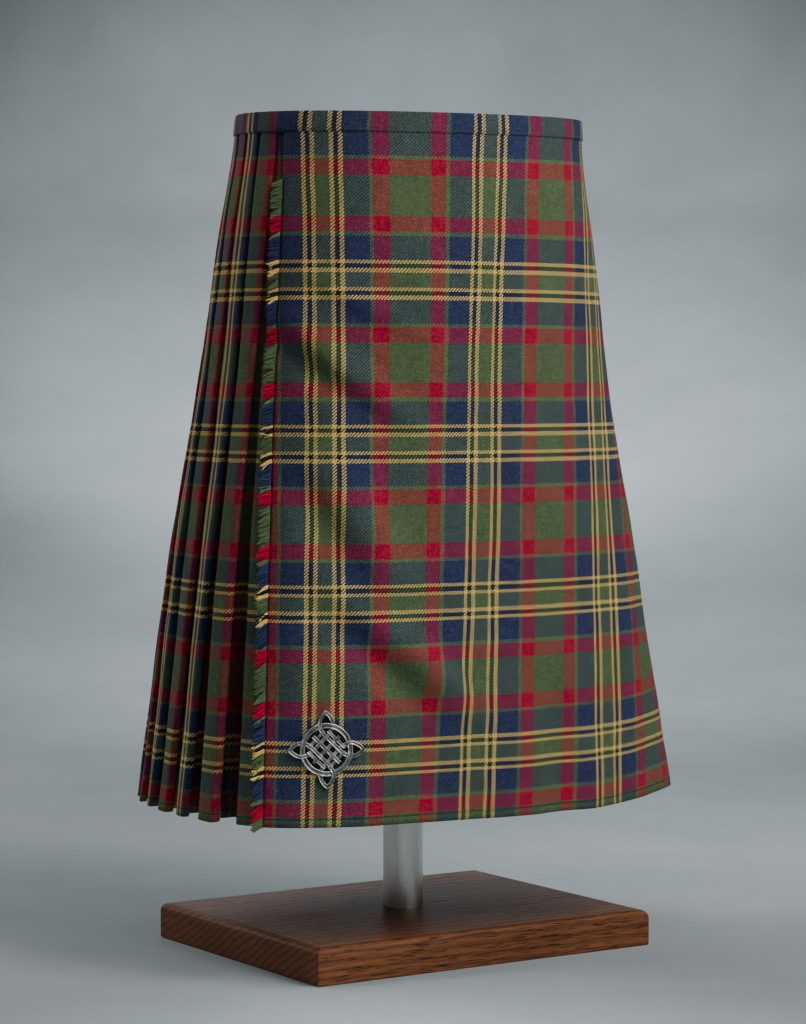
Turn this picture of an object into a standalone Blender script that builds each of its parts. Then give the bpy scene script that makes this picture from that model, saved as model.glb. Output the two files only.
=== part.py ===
"""A Scottish kilt carried on a small display stand.

Metres, +Z up.  The origin is the middle of the stand's underside.  The front of the
kilt faces -Y, the wearer's left is +X and the wearer's right is -X.

Every piece of cloth is laid out on one set of level sections.  A place on the cloth has
three numbers: drop, how far below the waist; arc, how far round the section from the
middle of the front, positive towards the wearer's left; and depth, how far inside the
outline.  Layers of cloth that lie on each other differ only in depth.
"""
import math
from collections import namedtuple
from functools import lru_cache

import bmesh
import bpy
import numpy as np
from mathutils import Matrix, Vector

COLLECTION = "scottish_kilt"

# ---------------------------------------------------------------- driving dimensions
KILT_LENGTH = 0.5992       # waist edge to hem at the front
HEM_HEIGHT = 0.1355        # hem above the surface the stand rests on
WAIST_HEIGHT = HEM_HEIGHT + KILT_LENGTH
WAIST_RISE = 0.0080        # the waist edge is this much higher at the sides and the back
HEM_RISE = 0.0065          # and the hem at the wearer's left, by the apron's fold
RISE_FADE = 0.30           # both fade out over this share of the length

CLOTH = 0.0014             # thickness of the woven cloth
PARTING = 0.0003           # space kept between pieces that meet
LAYER = CLOTH + 0.0006     # one layer of cloth and the space under it

PLEATS = 26                # knife pleats from the apron's fold round to the fringed edge
PLEAT_JOIN = 13            # the two lengths of cloth are joined at this pleat, centre back
RECESS_WAIST = 0.0046      # how far a pleat's face starts inside the fold before it
RECESS_HEM = 0.0200        # the same where the pleats open at the hem

BAND_HEIGHT = 0.0170       # waistband, outside
BAND_INSIDE = 0.0145       # waistband, turned over to the inside
BAND_CLOTH = 0.0016
BAND_SWELL = 0.0004        # it bulges this much halfway down
BAND_ROUNDING = 0.0008     # of its top edges
BAND_COLUMNS = 72

FRINGE_TOP_DROP = 0.058    # the fringe starts this far below the waist
FRINGE_STRANDS = 110
FRINGE_LENGTH = 0.0120
FRINGE_STRIP = 0.0022      # width of the strip that the strands grow from
FRINGE_DROOP = 0.0062      # how far a strand's tip hangs below its root
FRINGE_LIFT = 0.0025       # the strip's free side stands out by this, over the last pleat
FRINGE_UNEVENNESS = 0.10   # strands are this share longer or shorter
UNEVEN_TURN = 2.4          # radians from one strand's unevenness to the next one's

BASE_WIDTH, BASE_DEPTH, BASE_HEIGHT = 0.348, 0.274, 0.032
BASE_TOP_ROUNDING = 0.007
BASE_ROUNDING_STEPS = 4
ROUND_ARC = 0.5            # bevel profile of a circular arc
BASE_EASED_EDGE = 0.0012
POST_RADIUS = 0.018
POST_SIDES = 32
POST_SHARP_ANGLE, FORM_SHARP_ANGLE = math.radians(40), math.radians(50)
FORM_TOP_DROP, FORM_FOOT_DROP = 0.034, 0.150
FORM_CLEARANCE = 0.0004
FORM_COLUMNS = 48

PIN_ARC = -0.1658          # the kilt pin lies here on the over-apron
PIN_HEIGHT = 0.1999
PIN_TIP_RADIUS = 0.0323    # centre of the pin to the tip of a loop
PIN_RING_RADIUS = 0.0200
PIN_RING_BAND, PIN_RING_THICKNESS = 0.0040, 0.0026
PIN_LOOP_BAND, PIN_LOOP_THICKNESS = 0.0030, 0.0023
PIN_BAR_BAND = 0.0026
PIN_RISING_THICKNESS, PIN_FALLING_THICKNESS = 0.0018, 0.0020
PIN_LOOP_FOOT = 0.0105     # a loop starts this far from the centre
PIN_LOOP_BULGE = 0.0052    # half the width of a loop, along its middle line
PIN_BAR_SPACING = 0.0075
PIN_BAR_HALF = 0.0165      # half the length of the middle bar of the lattice
PIN_BAR_SHORTER = 0.0035   # how much shorter the bars beside it are, each end
PIN_RING_STEPS, PIN_LOOP_STEPS = 40, 9
PIN_SEAT_REACH = 0.010     # the pin lies level with the cloth this far each way

# One row for each level section.  Squareness 2 is an ellipse; more is boxier.
Section = namedtuple("Section", "drop half_width front_depth back_depth "
                                "right_square left_square back_square shift_x shift_y turn")
SECTIONS = (
    Section(0.00, 0.1641, 0.1200, 0.1266, 2.00, 2.16, 2.04, 0.0108, 0.0037, 1.1),
    Section(0.05, 0.1657, 0.1221, 0.1312, 2.06, 2.18, 2.05, 0.0078, 0.0008, 0.9),
    Section(0.15, 0.1749, 0.1263, 0.1403, 2.17, 2.22, 2.08, 0.0050, -0.0016, 0.5),
    Section(0.36, 0.1893, 0.1352, 0.1594, 2.42, 2.31, 2.14, 0.0023, -0.0029, -0.4),
    Section(0.62, 0.2133, 0.1462, 0.1831, 2.70, 2.43, 2.21, -0.0020, -0.0108, -1.5),
    Section(1.00, 0.2425, 0.1622, 0.2178, 3.10, 2.60, 2.32, 0.0003, -0.0154, -3.0),
)

# Where the waist edge is lowest, and where the hem is highest.
WAIST_LOW_ARC, WAIST_LOW_REACH = -0.0715, 0.3829
HEM_HIGH_ARC, HEM_HIGH_REACH = 0.220, 0.140

# Arcs of the over-apron's two edges at the waist and at the hem, and how far each bows
# away from the straight line between them.
EdgeArcs = namedtuple("EdgeArcs", "waist hem bow")
FRINGED_EDGE = EdgeArcs(-0.1863, -0.2224, 0.0013)
FOLDED_EDGE = EdgeArcs(0.1620, 0.2260, 0.0)
# The cloth seen between the last pleat's fold and the fringed edge.
LAST_PLEAT_REVEAL = EdgeArcs(0.0085, 0.0510, 0.0014)
LAST_PLEAT_WIDER = 0.0070  # the last pleat opens this much wider than the others at the hem
APRON_SPACES = 22          # columns of the over-apron
UNDER_APRON_SPACES = 20
FOLD_LEAD_IN = 0.08        # the apron's face ends this share of a pleat before its fold
UNDER_APRON_STOPS_SHORT = 0.020

# Soft folds of the aprons: a trough has a negative height.
SoftFold = namedtuple("SoftFold", "arc drop half_width half_drop height")
SOFT_FOLDS = (
    SoftFold(-0.105, 0.42, 0.045, 0.30, -0.0030),
    SoftFold(0.020, 0.70, 0.060, 0.34, 0.0026),
    SoftFold(0.120, 0.45, 0.050, 0.36, -0.0022),
)

# One row for each point of a pleat.  Along runs from the fold before (0) to its own
# fold (1); recess is the share of the section's recess; layer counts layers inward.
PleatPoint = namedtuple("PleatPoint", "along recess layer")
PLEAT_FACE = (
    PleatPoint(0.00, 1.00, 0.0),
    PleatPoint(0.15, 0.83, 0.0),
    PleatPoint(0.33, 0.43, 0.0),
    PleatPoint(0.52, 0.13, 0.0),
    PleatPoint(0.92, 0.01, 0.0),
    PleatPoint(1.00, 0.00, 0.5),
    PleatPoint(0.93, 0.02, 1.0),
)
PLEAT_TURN = (
    PleatPoint(0.56, 0.11, 1.0),
    PleatPoint(0.51, 0.14, 1.5),
    PleatPoint(0.56, 0.11, 2.0),
)
# From the last pleat's fold to the fringed edge: share of the way, share of the rise.
UnderApronPoint = namedtuple("UnderApronPoint", "share rise")
UNDER_APRON_RISE = (UnderApronPoint(0.18, 0.14), UnderApronPoint(0.44, 0.78))
STACK_MARGIN = 0.016       # the pleats' thickness goes on this far beyond the end folds
STACK_BLEND = 0.035        # and then fades into the aprons' over this length
RETURN_SEAM = 0.68         # along: where the apron's own cloth ends behind its fold
UNDER_SEAM = 0.76          # along: where two pieces meet in a pleat's inner layer

ROW_DROPS = (0.0, 0.05, 0.15, 0.36, 0.62, 0.81, 1.0)
OUTLINE_STEPS = 720

# The waist form from its foot up: height above the foot as a share, and inset.
FormRing = namedtuple("FormRing", "height inset")
FORM_PROFILE = (
    FormRing(0.00, 0.012), FormRing(0.05, 0.002), FormRing(0.28, 0.0), FormRing(0.60, 0.0),
    FormRing(0.86, 0.0), FormRing(0.95, 0.005), FormRing(1.00, 0.018),
)

# How a fringe strand goes on from its root: shares of its reach and droop, and its taper.
FREE_SIDE = 2              # of the strip's four sides, the one away from the apron
StrandStep = namedtuple("StrandStep", "reach droop width")
STRAND_STEPS = (StrandStep(0.50, 0.34, 0.78), StrandStep(0.50, 0.66, 0.55))


# ---------------------------------------------------------------- sections
def section_at(drop):
    """The section's sizes at a drop, 0 at the waist and 1 at the hem."""
    drops = [row.drop for row in SECTIONS]
    return Section(*(float(np.interp(drop, drops, column)) for column in zip(*SECTIONS)))


@lru_cache(maxsize=None)
def outline(drop):
    """Arc, x, y and outward normal round one section, from the middle of the back."""
    row = section_at(drop)
    angle = np.linspace(-math.pi, math.pi, OUTLINE_STEPS + 1)
    across, ahead = np.sin(angle), np.cos(angle)
    is_front = ahead >= 0
    front_square = np.where(across > 0, row.left_square, row.right_square)
    square = np.where(is_front, front_square, row.back_square)
    reach = np.where(is_front, row.front_depth, row.back_depth)
    radius = (np.abs(across) ** square + np.abs(ahead) ** square) ** (-1 / square)
    flat_x = row.half_width * radius * across + row.shift_x
    flat_y = -reach * radius * ahead + row.shift_y
    turn = math.radians(row.turn)
    x = flat_x * math.cos(turn) - flat_y * math.sin(turn)
    y = flat_x * math.sin(turn) + flat_y * math.cos(turn)
    arc = np.concatenate([[0.0], np.cumsum(np.hypot(np.diff(x), np.diff(y)))])
    arc -= np.interp(0.0, angle, arc)
    slope_x, slope_y = np.gradient(x, arc), np.gradient(y, arc)
    length = np.hypot(slope_x, slope_y)
    return arc, x, y, slope_y / length, -slope_x / length


def girth(drop):
    arc = outline(drop)[0]
    return float(arc[-1] - arc[0])


def hump(distance, reach):
    """A soft bump: 1 at the middle and 0 from reach outwards."""
    share = min(abs(distance) / reach, 1.0)
    return 0.5 + 0.5 * math.cos(math.pi * share)


def soft_fold_height(drop, arc):
    return sum(fold.height * hump(arc - fold.arc, fold.half_width) * hump(drop - fold.drop, fold.half_drop)
               for fold in SOFT_FOLDS)


def height_at(drop, arc):
    waist = WAIST_RISE * (1.0 - hump(arc - WAIST_LOW_ARC, WAIST_LOW_REACH)) * hump(drop, RISE_FADE)
    hem = HEM_RISE * hump(arc - HEM_HIGH_ARC, HEM_HIGH_REACH) * hump(1.0 - drop, RISE_FADE)
    return WAIST_HEIGHT - drop * KILT_LENGTH + waist + hem


def cloth_point(drop, arc, depth):
    """A point of the cloth, from its drop, its arc and its depth inside the outline."""
    arcs, x, y, normal_x, normal_y = outline(drop)
    around = (arc - arcs[0]) % girth(drop) + arcs[0]
    outward = soft_fold_height(drop, around) - depth
    return Vector((
        float(np.interp(around, arcs, x) + outward * np.interp(around, arcs, normal_x)),
        float(np.interp(around, arcs, y) + outward * np.interp(around, arcs, normal_y)),
        height_at(drop, around),
    ))


def between(edge, drop):
    return edge.waist + (edge.hem - edge.waist) * drop + edge.bow * 4 * drop * (1 - drop)


# ---------------------------------------------------------------- pleats
def recess_at(drop):
    return RECESS_WAIST + (RECESS_HEM - RECESS_WAIST) * drop ** 1.5


def fold_arc(number, drop):
    """Arc of a pleat's fold.  Number 0 is the over-apron's own fold."""
    first = between(FOLDED_EDGE, drop)
    last = girth(drop) + between(FRINGED_EDGE, drop) - between(LAST_PLEAT_REVEAL, drop)
    wider = LAST_PLEAT_WIDER * drop ** 3
    if number == PLEATS:
        return last
    return first + (last - wider - first) * number / PLEATS


def pleat_width(number, drop):
    """From the fold before to a pleat's own fold; behind the apron's fold, as the first."""
    number = max(number, 1)
    return fold_arc(number, drop) - fold_arc(number - 1, drop)


def pleat_place(number, point, drop):
    """Arc and depth of one point of a pleat, whose own fold has this number."""
    arc = fold_arc(number, drop) + (point.along - 1.0) * pleat_width(number, drop)
    depth = CLOTH / 2 + point.recess * recess_at(drop) + point.layer * LAYER
    return arc, depth


def under_layer(along):
    """A point of the inner layer, between the turn and the start of the next face."""
    start = PLEAT_TURN[-1]
    share = (along - start.along) / (1.0 - start.along)
    return PleatPoint(along, start.recess + (1.0 - start.recess) * share, start.layer * (1.0 - share))


def shifted(number, point, distance, drop):
    """The same point, moved a real distance along the pleat."""
    return point._replace(along=point.along + distance / pleat_width(number, drop))


@lru_cache(maxsize=None)
def pleat_stack(drop):
    """Depth of the pleated cloth's inner face."""
    deepest = max(pleat_place(1, point, drop)[1] for point in PLEAT_FACE + PLEAT_TURN)
    return deepest + CLOTH / 2


def stack_depth(arc, drop):
    """Depth of the innermost face: two layers under the aprons, the pleats elsewhere."""
    first, last = fold_arc(0, drop), fold_arc(PLEATS, drop)
    around = (arc - first) % girth(drop)
    beyond = max(min(around - (last - first), girth(drop) - around) - STACK_MARGIN, 0.0)
    apron_stack = 2 * LAYER
    return apron_stack + (pleat_stack(drop) - apron_stack) * hump(beyond, STACK_BLEND)


# ---------------------------------------------------------------- scene helpers
def collection(name):
    made = bpy.data.collections.new(name)
    bpy.context.scene.collection.children.link(made)
    return made


def material(name, colour, roughness, metallic=0.0):
    made = bpy.data.materials.new(name)
    made.use_nodes = True
    shader = made.node_tree.nodes["Principled BSDF"]
    shader.inputs["Base Color"].default_value = (*colour, 1.0)
    shader.inputs["Roughness"].default_value = roughness
    shader.inputs["Metallic"].default_value = metallic
    return made


def object_from(name, bm, finish, target):
    mesh = bpy.data.meshes.new(name)
    bm.to_mesh(mesh)
    bm.free()
    made = bpy.data.objects.new(name, mesh)
    made.data.materials.append(finish)
    target.objects.link(made)
    return made


def grid_mesh(rows):
    """An open surface through rows of points."""
    bm = bmesh.new()
    verts = [[bm.verts.new(point) for point in row] for row in rows]
    for upper, lower in zip(verts, verts[1:]):
        for i in range(len(upper) - 1):
            bm.faces.new((upper[i], lower[i], lower[i + 1], upper[i + 1]))
    return bm


def rings_mesh(rings, ends_closed=True):
    """A closed body through rings of points, first and last ring filled."""
    bm = bmesh.new()
    verts = [[bm.verts.new(point) for point in ring] for ring in rings]
    count = len(rings[0])
    for ring, following in zip(verts, verts[1:]):
        for i in range(count):
            j = (i + 1) % count
            bm.faces.new((ring[i], ring[j], following[j], following[i]))
    if ends_closed:
        bm.faces.new(list(reversed(verts[0])))
        bm.faces.new(verts[-1])
    bmesh.ops.recalc_face_normals(bm, faces=bm.faces)
    return bm


def cloth_sheet(name, places_at, finish, target):
    """A wall of cloth: places_at(drop) lists the (arc, depth) of its points in order."""
    rows = [[cloth_point(drop, arc, depth) for arc, depth in places_at(drop)] for drop in ROW_DROPS]
    made = object_from(name, grid_mesh(rows), finish, target)
    made.data.shade_smooth()
    wall = made.modifiers.new("cloth", "SOLIDIFY")
    wall.thickness = CLOTH
    wall.offset = 0.0
    return made


# ---------------------------------------------------------------- cloth pieces
def apron_arcs(first, last, spaces):
    return [first + (last - first) * i / spaces for i in range(spaces + 1)]


def over_apron_places(drop):
    """From the fringed edge round to the fold, and back behind it."""
    start = between(FRINGED_EDGE, drop)
    face_end = fold_arc(0, drop) - FOLD_LEAD_IN * pleat_width(0, drop)
    places = [(arc, CLOTH / 2) for arc in apron_arcs(start, face_end, APRON_SPACES)]
    places += [pleat_place(0, point, drop) for point in PLEAT_FACE[-2:]]
    seam = PleatPoint(RETURN_SEAM, 0.0, 1.0)
    places.append(pleat_place(0, seam, drop))
    return places


def pleat_places(first, last, drop):
    """The cloth from the inner layer before one pleat's face to that of another."""
    places = []
    for number in range(first, last + 1):
        points = PLEAT_FACE + PLEAT_TURN
        places += [pleat_place(number, point, drop) for point in points]
    return places


def left_pleat_places(drop):
    """Starts behind the over-apron's fold and ends in the join at the centre back."""
    seam = shifted(0, PleatPoint(RETURN_SEAM, 0.0, 1.0), -PARTING, drop)
    turn = [point._replace(recess=0.0) for point in PLEAT_TURN]
    places = [pleat_place(0, point, drop) for point in [seam] + turn]
    places += pleat_places(1, PLEAT_JOIN, drop)
    places.append(pleat_place(PLEAT_JOIN, under_layer(UNDER_SEAM), drop))
    return places


def right_pleat_places(drop):
    start = shifted(PLEAT_JOIN, under_layer(UNDER_SEAM), PARTING, drop)
    places = [pleat_place(PLEAT_JOIN, start, drop)]
    places += pleat_places(PLEAT_JOIN + 1, PLEATS, drop)
    places.append(pleat_place(PLEATS, under_layer(UNDER_SEAM), drop))
    return places


def under_apron_places(drop):
    """From inside the last pleat, out beside the fringe, then under the over-apron."""
    start = shifted(PLEATS, under_layer(UNDER_SEAM), PARTING, drop)
    last_fold = fold_arc(PLEATS, drop)
    covered = girth(drop) + between(FRINGED_EDGE, drop)
    hidden_end = girth(drop) + fold_arc(0, drop) - UNDER_APRON_STOPS_SHORT
    under_depth = CLOTH / 2 + LAYER
    recess = CLOTH / 2 + recess_at(drop)
    places = [pleat_place(PLEATS, start, drop), (last_fold, recess)]
    for point in UNDER_APRON_RISE:
        arc = last_fold + (covered - last_fold) * point.share
        places.append((arc, recess + (under_depth - recess) * point.rise))
    places += [(arc, under_depth) for arc in apron_arcs(covered, hidden_end, UNDER_APRON_SPACES)]
    return places


def waistband(finish, target):
    """A band folded over the top edge of the cloth, open at the fringed edge."""
    outside = BAND_CLOTH / 2 + PARTING
    top = PARTING + BAND_CLOTH / 2
    start = between(FRINGED_EDGE, 0.0)
    end = start + girth(0.0) - PARTING
    rows = []
    for arc in apron_arcs(start, end, BAND_COLUMNS):
        inside = stack_depth(arc, 0.0) + outside
        profile = (
            (-outside, -BAND_HEIGHT), (-outside - BAND_SWELL, -BAND_HEIGHT / 2),
            (-outside, top - BAND_ROUNDING), (-outside + BAND_ROUNDING, top),
            (inside - BAND_ROUNDING, top), (inside, top - BAND_ROUNDING), (inside, -BAND_INSIDE),
        )
        rows.append([band_point(arc, depth, rise) for depth, rise in profile])
    made = object_from("waistband", grid_mesh(rows), finish, target)
    made.data.shade_smooth()
    wall = made.modifiers.new("band", "SOLIDIFY")
    wall.thickness = BAND_CLOTH
    wall.offset = 0.0
    return made


def band_point(arc, depth, rise):
    """A point of the waistband: it follows the cloth's slope below the edge."""
    drop = max(-rise, 0.0) / KILT_LENGTH
    arc_here = arc * girth(drop) / girth(0.0)
    point = cloth_point(drop, arc_here, depth)
    point.z += max(rise, 0.0)
    return point


def apron_fringe(finish, target):
    """A narrow strip beside the apron's edge, with strands grown from every other cell."""
    cells = 2 * FRINGE_STRANDS - 1
    top_drop = FRINGE_TOP_DROP / KILT_LENGTH
    foot_drop = 1.0 - FRINGE_DROOP / KILT_LENGTH
    rings = []
    for i in range(cells + 1):
        drop = top_drop + (foot_drop - top_drop) * i / cells
        root = between(FRINGED_EDGE, drop) - PARTING
        tip = root - FRINGE_STRIP
        corners = ((root, CLOTH), (root, 0.0), (tip, -FRINGE_LIFT), (tip, CLOTH - FRINGE_LIFT))
        rings.append([cloth_point(drop, arc, depth) for arc, depth in corners])
    bm = rings_mesh(rings)
    bm.faces.ensure_lookup_table()
    roots = [bm.faces[4 * i + FREE_SIDE] for i in range(0, cells, 2)]
    for number, root in enumerate(roots):
        grow_strand(bm, root, number)
    bmesh.ops.recalc_face_normals(bm, faces=bm.faces)
    return object_from("apron_fringe", bm, finish, target)


def grow_strand(bm, root, number):
    """Two steps out of the strip's free side, each thinner and lower than the last."""
    outward = root.normal.copy()
    reach = FRINGE_LENGTH * (1.0 + FRINGE_UNEVENNESS * math.sin(UNEVEN_TURN * number))
    face = root
    for step in STRAND_STEPS:
        face = bmesh.ops.extrude_discrete_faces(bm, faces=[face])["faces"][0]
        move = outward * reach * step.reach - Vector((0, 0, FRINGE_DROOP * step.droop))
        centre = face.calc_center_median()
        for vert in face.verts:
            vert.co = centre + (vert.co - centre) * step.width + move


# ---------------------------------------------------------------- kilt pin
def pin_frame():
    """Where the pin lies: x across the apron, y up it, z out of it."""
    drop = (WAIST_HEIGHT - PIN_HEIGHT) / KILT_LENGTH
    reach, drop_reach = PIN_SEAT_REACH, PIN_SEAT_REACH / KILT_LENGTH
    here = cloth_point(drop, PIN_ARC, 0.0)
    across = cloth_point(drop, PIN_ARC + reach, 0.0) - cloth_point(drop, PIN_ARC - reach, 0.0)
    rise = cloth_point(drop - drop_reach, PIN_ARC, 0.0) - cloth_point(drop + drop_reach, PIN_ARC, 0.0)
    across.normalize()
    out = across.cross(rise).normalized()
    rise = out.cross(across)
    frame = Matrix((across, rise, out)).transposed().to_4x4()
    frame.translation = here + out * PARTING
    return frame


def flat_band(name, path, width, thickness, closed, finish, target):
    """A flat metal band that follows a path on the pin's face."""
    count = len(path)
    rings = []
    for i, point in enumerate(path):
        before = path[(i - 1) % count] if closed or i > 0 else point
        after = path[(i + 1) % count] if closed or i < count - 1 else point
        side = Vector((before[1] - after[1], after[0] - before[0])).normalized() * width / 2
        left, right = Vector(point) + side, Vector(point) - side
        rings.append([(left.x, left.y, 0), (left.x, left.y, thickness),
                      (right.x, right.y, thickness), (right.x, right.y, 0)])
    if closed:
        rings.append(rings[0])
    bm = rings_mesh(rings, ends_closed=not closed)
    bmesh.ops.remove_doubles(bm, verts=bm.verts, dist=1e-6)
    bmesh.ops.recalc_face_normals(bm, faces=bm.faces)
    return object_from(name, bm, finish, target)


def circle_path(radius, steps):
    return [(radius * math.cos(math.tau * i / steps), radius * math.sin(math.tau * i / steps))
            for i in range(steps)]


def loop_path(quarter, steps):
    """A pointed oval from near the centre out to its tip, turned by quarters."""
    mid = (PIN_TIP_RADIUS + PIN_LOOP_FOOT) / 2
    half = (PIN_TIP_RADIUS - PIN_LOOP_FOOT) / 2 - PIN_LOOP_BAND / 2
    path = []
    for side in (1, -1):
        for i in range(steps):
            run = side * (1 - 2 * i / steps)
            path.append((side * PIN_LOOP_BULGE * (1 - run * run), mid + half * run))
    turn = quarter * math.pi / 2
    return [(x * math.cos(turn) - y * math.sin(turn), x * math.sin(turn) + y * math.cos(turn))
            for x, y in path]


def bar_path(lean, number):
    """One straight bar of the lattice at 45 degrees; number -1, 0 or 1 sets its side."""
    half = PIN_BAR_HALF - PIN_BAR_SHORTER * abs(number)
    along = Vector((math.cos(lean), math.sin(lean)))
    aside = Vector((-along.y, along.x)) * number * PIN_BAR_SPACING
    return [tuple(aside - along * half), tuple(aside + along * half)]


def kilt_pin(finish, target, cutters):
    """A ring, four pointed loops and a lattice, all fused into one openwork casting."""
    ring = flat_band("kilt_pin", circle_path(PIN_RING_RADIUS, PIN_RING_STEPS), PIN_RING_BAND,
                     PIN_RING_THICKNESS, True, finish, target)
    others = [flat_band(f"pin_loop_{quarter}", loop_path(quarter, PIN_LOOP_STEPS), PIN_LOOP_BAND,
                        PIN_LOOP_THICKNESS, True, finish, cutters) for quarter in range(4)]
    leans = (("rising", math.pi / 4, PIN_RISING_THICKNESS),
             ("falling", -math.pi / 4, PIN_FALLING_THICKNESS))
    for lean_name, lean, thickness in leans:
        for number in (-1, 0, 1):
            others.append(flat_band(f"pin_bar_{lean_name}_{number + 1}", bar_path(lean, number),
                                    PIN_BAR_BAND, thickness, False, finish, cutters))
    frame = pin_frame()
    ring.matrix_world = frame
    for other in others:
        other.matrix_world = frame
        other.hide_render = True
        other.display_type = "WIRE"
        union = ring.modifiers.new(other.name, "BOOLEAN")
        union.operation = "UNION"
        union.object = other
    return ring


# ---------------------------------------------------------------- stand
def stand_base(finish, target):
    """A block with rounded top edges and a flat underside."""
    bm = bmesh.new()
    bmesh.ops.create_cube(bm, size=1.0)
    bmesh.ops.scale(bm, verts=bm.verts, vec=(BASE_WIDTH, BASE_DEPTH, BASE_HEIGHT))
    bmesh.ops.translate(bm, verts=bm.verts, vec=(0, 0, BASE_HEIGHT / 2))
    top = [edge for edge in bm.edges if all(vert.co.z > BASE_HEIGHT / 2 for vert in edge.verts)]
    bmesh.ops.bevel(bm, geom=top, offset=BASE_TOP_ROUNDING, segments=BASE_ROUNDING_STEPS,
                    profile=ROUND_ARC, affect="EDGES")
    foot = [edge for edge in bm.edges if all(vert.co.z < BASE_EASED_EDGE for vert in edge.verts)]
    bmesh.ops.bevel(bm, geom=foot, offset=BASE_EASED_EDGE, segments=1, affect="EDGES")
    return object_from("stand_base", bm, finish, target)


def stand_post(finish, target):
    foot = BASE_HEIGHT + PARTING
    head = WAIST_HEIGHT - FORM_FOOT_DROP - PARTING
    bm = bmesh.new()
    bmesh.ops.create_cone(bm, cap_ends=True, segments=POST_SIDES, radius1=POST_RADIUS,
                          radius2=POST_RADIUS, depth=head - foot)
    bmesh.ops.translate(bm, verts=bm.verts, vec=(0, 0, (head + foot) / 2))
    made = object_from("stand_post", bm, finish, target)
    made.data.shade_smooth()
    made.data.set_sharp_from_angle(angle=POST_SHARP_ANGLE)
    return made


def waist_form(finish, target):
    """The smooth oval block inside the waist that the kilt hangs on."""
    rings = []
    for ring in FORM_PROFILE:
        fall = FORM_FOOT_DROP + (FORM_TOP_DROP - FORM_FOOT_DROP) * ring.height
        drop = fall / KILT_LENGTH
        points = [form_point(drop, girth(drop) * i / FORM_COLUMNS, ring.inset) for i in range(FORM_COLUMNS)]
        for point in points:
            point.z = WAIST_HEIGHT - fall
        rings.append(points)
    made = object_from("waist_form", rings_mesh(rings), finish, target)
    made.data.shade_smooth()
    made.data.set_sharp_from_angle(angle=FORM_SHARP_ANGLE)
    return made


def form_point(drop, arc, inset):
    return cloth_point(drop, arc, stack_depth(arc, drop) + FORM_CLEARANCE + inset)


# ---------------------------------------------------------------- build
def build():
    for leftover in list(bpy.data.objects):
        bpy.data.objects.remove(leftover, do_unlink=True)
    parts = collection(COLLECTION)
    cutters = collection(COLLECTION + "_joined_shapes")

    tartan = material("tartan_wool", (0.045, 0.085, 0.070), 0.85)
    yarn = material("fringe_yarn", (0.160, 0.030, 0.035), 0.90)
    silver = material("antique_silver", (0.46, 0.45, 0.43), 0.38, 1.0)
    oak = material("stained_oak", (0.060, 0.028, 0.016), 0.45)
    steel = material("brushed_steel", (0.52, 0.53, 0.54), 0.34, 1.0)
    felt = material("form_felt", (0.090, 0.090, 0.095), 0.95)

    stand_base(oak, parts)
    stand_post(steel, parts)
    waist_form(felt, parts)
    cloth_sheet("over_apron", over_apron_places, tartan, parts)
    cloth_sheet("pleats_left", left_pleat_places, tartan, parts)
    cloth_sheet("pleats_right", right_pleat_places, tartan, parts)
    cloth_sheet("under_apron", under_apron_places, tartan, parts)
    waistband(tartan, parts)
    apron_fringe(yarn, parts)
    kilt_pin(silver, parts, cutters)


build()
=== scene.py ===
"""The looks of a Scottish kilt on its display stand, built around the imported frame.

Metres, +Z up.  The front of the kilt faces -Y and the wearer's right is -X.  The cloth
is laid out as the solids are: a place on it has a drop below the waist (0 to 1), an arc
round the section from the middle of the front, and a depth inside the outline.
"""
import math
import random
from collections import namedtuple
from functools import lru_cache

import bmesh
import bpy
import numpy as np
from mathutils import Matrix, Vector


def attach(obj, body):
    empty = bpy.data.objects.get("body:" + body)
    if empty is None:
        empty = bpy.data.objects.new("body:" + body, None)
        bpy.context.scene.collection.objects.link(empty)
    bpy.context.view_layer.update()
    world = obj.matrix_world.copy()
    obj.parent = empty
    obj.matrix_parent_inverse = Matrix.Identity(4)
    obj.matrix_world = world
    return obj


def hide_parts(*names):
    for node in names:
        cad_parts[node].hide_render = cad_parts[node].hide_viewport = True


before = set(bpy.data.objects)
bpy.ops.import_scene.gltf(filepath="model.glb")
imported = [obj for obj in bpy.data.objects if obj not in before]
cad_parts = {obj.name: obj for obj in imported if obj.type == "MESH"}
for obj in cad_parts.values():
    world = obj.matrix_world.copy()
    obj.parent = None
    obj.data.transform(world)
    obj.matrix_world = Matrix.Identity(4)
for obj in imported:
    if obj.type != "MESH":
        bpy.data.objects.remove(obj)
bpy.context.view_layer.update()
BODY = "root"


def table(kind, rows):
    """Names the values of each row."""
    return tuple(kind(*row) for row in rows)


# ---- sizes of the solids
KILT_LENGTH = 0.5992
HEM_HEIGHT = 0.1355
WAIST_HEIGHT = HEM_HEIGHT + KILT_LENGTH
WAIST_RISE, HEM_RISE, RISE_FADE = 0.0080, 0.0065, 0.30
CLOTH = 0.0014
PARTING = 0.0003
LAYER = CLOTH + 2 * PARTING
PLEATS, PLEAT_JOIN = 26, 13
BAND_HEIGHT, BAND_INSIDE = 0.0170, 0.0145
FRINGE_TOP_DROP = 0.058 / KILT_LENGTH
PIN_ARC, PIN_HEIGHT = -0.1658, 0.1999
PIN_TIP_RADIUS, PIN_RING_RADIUS, PIN_FOOT_RADIUS = 0.0323, 0.0200, 0.0106

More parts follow.
